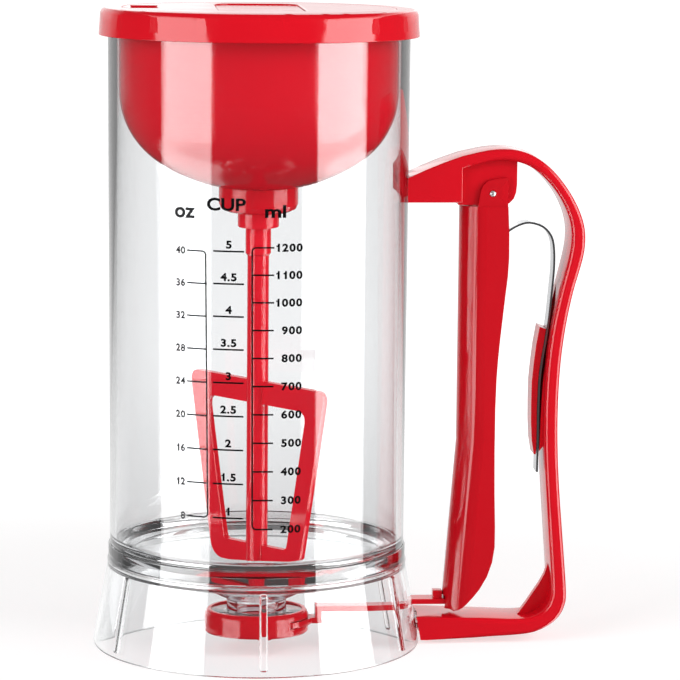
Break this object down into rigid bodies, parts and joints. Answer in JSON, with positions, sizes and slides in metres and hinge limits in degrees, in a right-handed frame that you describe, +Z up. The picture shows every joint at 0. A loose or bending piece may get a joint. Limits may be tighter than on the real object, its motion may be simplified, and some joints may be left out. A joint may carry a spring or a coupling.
{
  "type": "batter dispenser",
  "caption": "Clear measuring tube with a lift-off motor lid and mixing paddle, on a flared base with a sliding gate worked by a squeeze lever in the side handle",
  "frame": {"origin": "on the table under the axis of the tube, in the plane of the base's bottom rim", "axes": "+Z up along the tube, +X towards the handle, -Y the side with the measuring scales"},
  "size_m": [0.1885, 0.1282, 0.2454],
  "materials": {
    "clear_tube": "clear, polished",
    "clear_base": "clear, polished",
    "silicone": "translucent, soft",
    "red_gloss": "glossy, moulded",
    "red_housing": "glossy, moulded",
    "red_button": "satin",
    "screw_steel": "bright zinc",
    "pin_steel": "ground",
    "spring_steel": "bright, rolled",
    "motor_can": "nickel plated",
    "brass": "turned",
    "white_gear": "moulded",
    "black_plastic": "fine texture",
    "black_rubber": "soft",
    "cell_sleeve": "plain sleeve"
  },
  "bodies": {
    "pitcher": {"vessel": "clear_tube", "base": "clear_base", "outlet_seal": "silicone", "valve_cap": "red_gloss", "handle": "red_gloss", "handle_screws": "screw_steel", "lever_pin": "pin_steel"},
    "gate": {"gate_slider": "red_gloss"},
    "lever": {"lever": "red_gloss"},
    "spring": {"leaf_spring": "spring_steel"},
    "lid": {"lid_cap": "red_gloss", "motor_housing": "red_housing", "lid_screws": "screw_steel", "switch": "black_plastic", "battery_tray": "black_plastic", "batteries": "cell_sleeve", "contact_springs": "spring_steel", "contact_plates": "screw_steel", "motor": "motor_can", "output_bush": "brass", "shaft_seal": "black_rubber", "gear_plate": "black_plastic", "plate_screws": "screw_steel", "motor_leads": "black_rubber"},
    "cover": {"battery_cover": "red_gloss"},
    "button": {"power_button": "red_button"},
    "rotor": {"output_gear": "white_gear", "output_shaft": "pin_steel", "drive_coupling": "red_gloss", "paddle": "red_gloss"},
    "motor_rotor": {"motor_shaft": "pin_steel", "motor_pinion": "brass"}
  },
  "joints": [
    {"name": "lever_squeeze", "type": "hinge", "parent": "pitcher", "child": "lever", "pos_m": [0.0891, 0, 0.1755], "axis": [0, -1, 0], "range_deg": [0, 7.05], "stiffness_Nm_per_rad": 0.8, "springref_deg": -6.88},
    {"name": "gate_slide", "type": "slide", "parent": "pitcher", "child": "gate", "axis": [1, 0, 0], "range_m": [0, 0.0193]},
    {"name": "spring_flex", "type": "hinge", "parent": "pitcher", "child": "spring", "pos_m": [0.1087, 0, 0.076], "axis": [0, 1, 0], "range_deg": [0, 1.7]},
    {"name": "lid_lift", "type": "slide", "parent": "pitcher", "child": "lid", "axis": [0, 0, 1], "range_m": [0, 0.215]},
    {"name": "cover_lift", "type": "slide", "parent": "lid", "child": "cover", "axis": [0, 0, 1], "range_m": [0, 0.03]},
    {"name": "button_press", "type": "slide", "parent": "cover", "child": "button", "axis": [0, 0, -1], "range_m": [0, 0.0012], "stiffness_N_per_m": 500, "springref_m": -0.002},
    {"name": "paddle_spin", "type": "hinge", "parent": "lid", "child": "rotor", "pos_m": [0, 0, 0.16], "axis": [0, 0, 1], "continuous": true},
    {"name": "motor_spin", "type": "hinge", "parent": "lid", "child": "motor_rotor", "pos_m": [-0.018, 0, 0.185], "axis": [0, 0, 1], "continuous": true}
  ],
  "couplings": [
    {"joint": "gate_slide", "follows": "lever_squeeze", "m_per_rad": 0.15665},
    {"joint": "spring_flex", "follows": "lever_squeeze", "ratio": 0.24065},
    {"joint": "motor_spin", "follows": "paddle_spin", "ratio": -4}
  ]
}
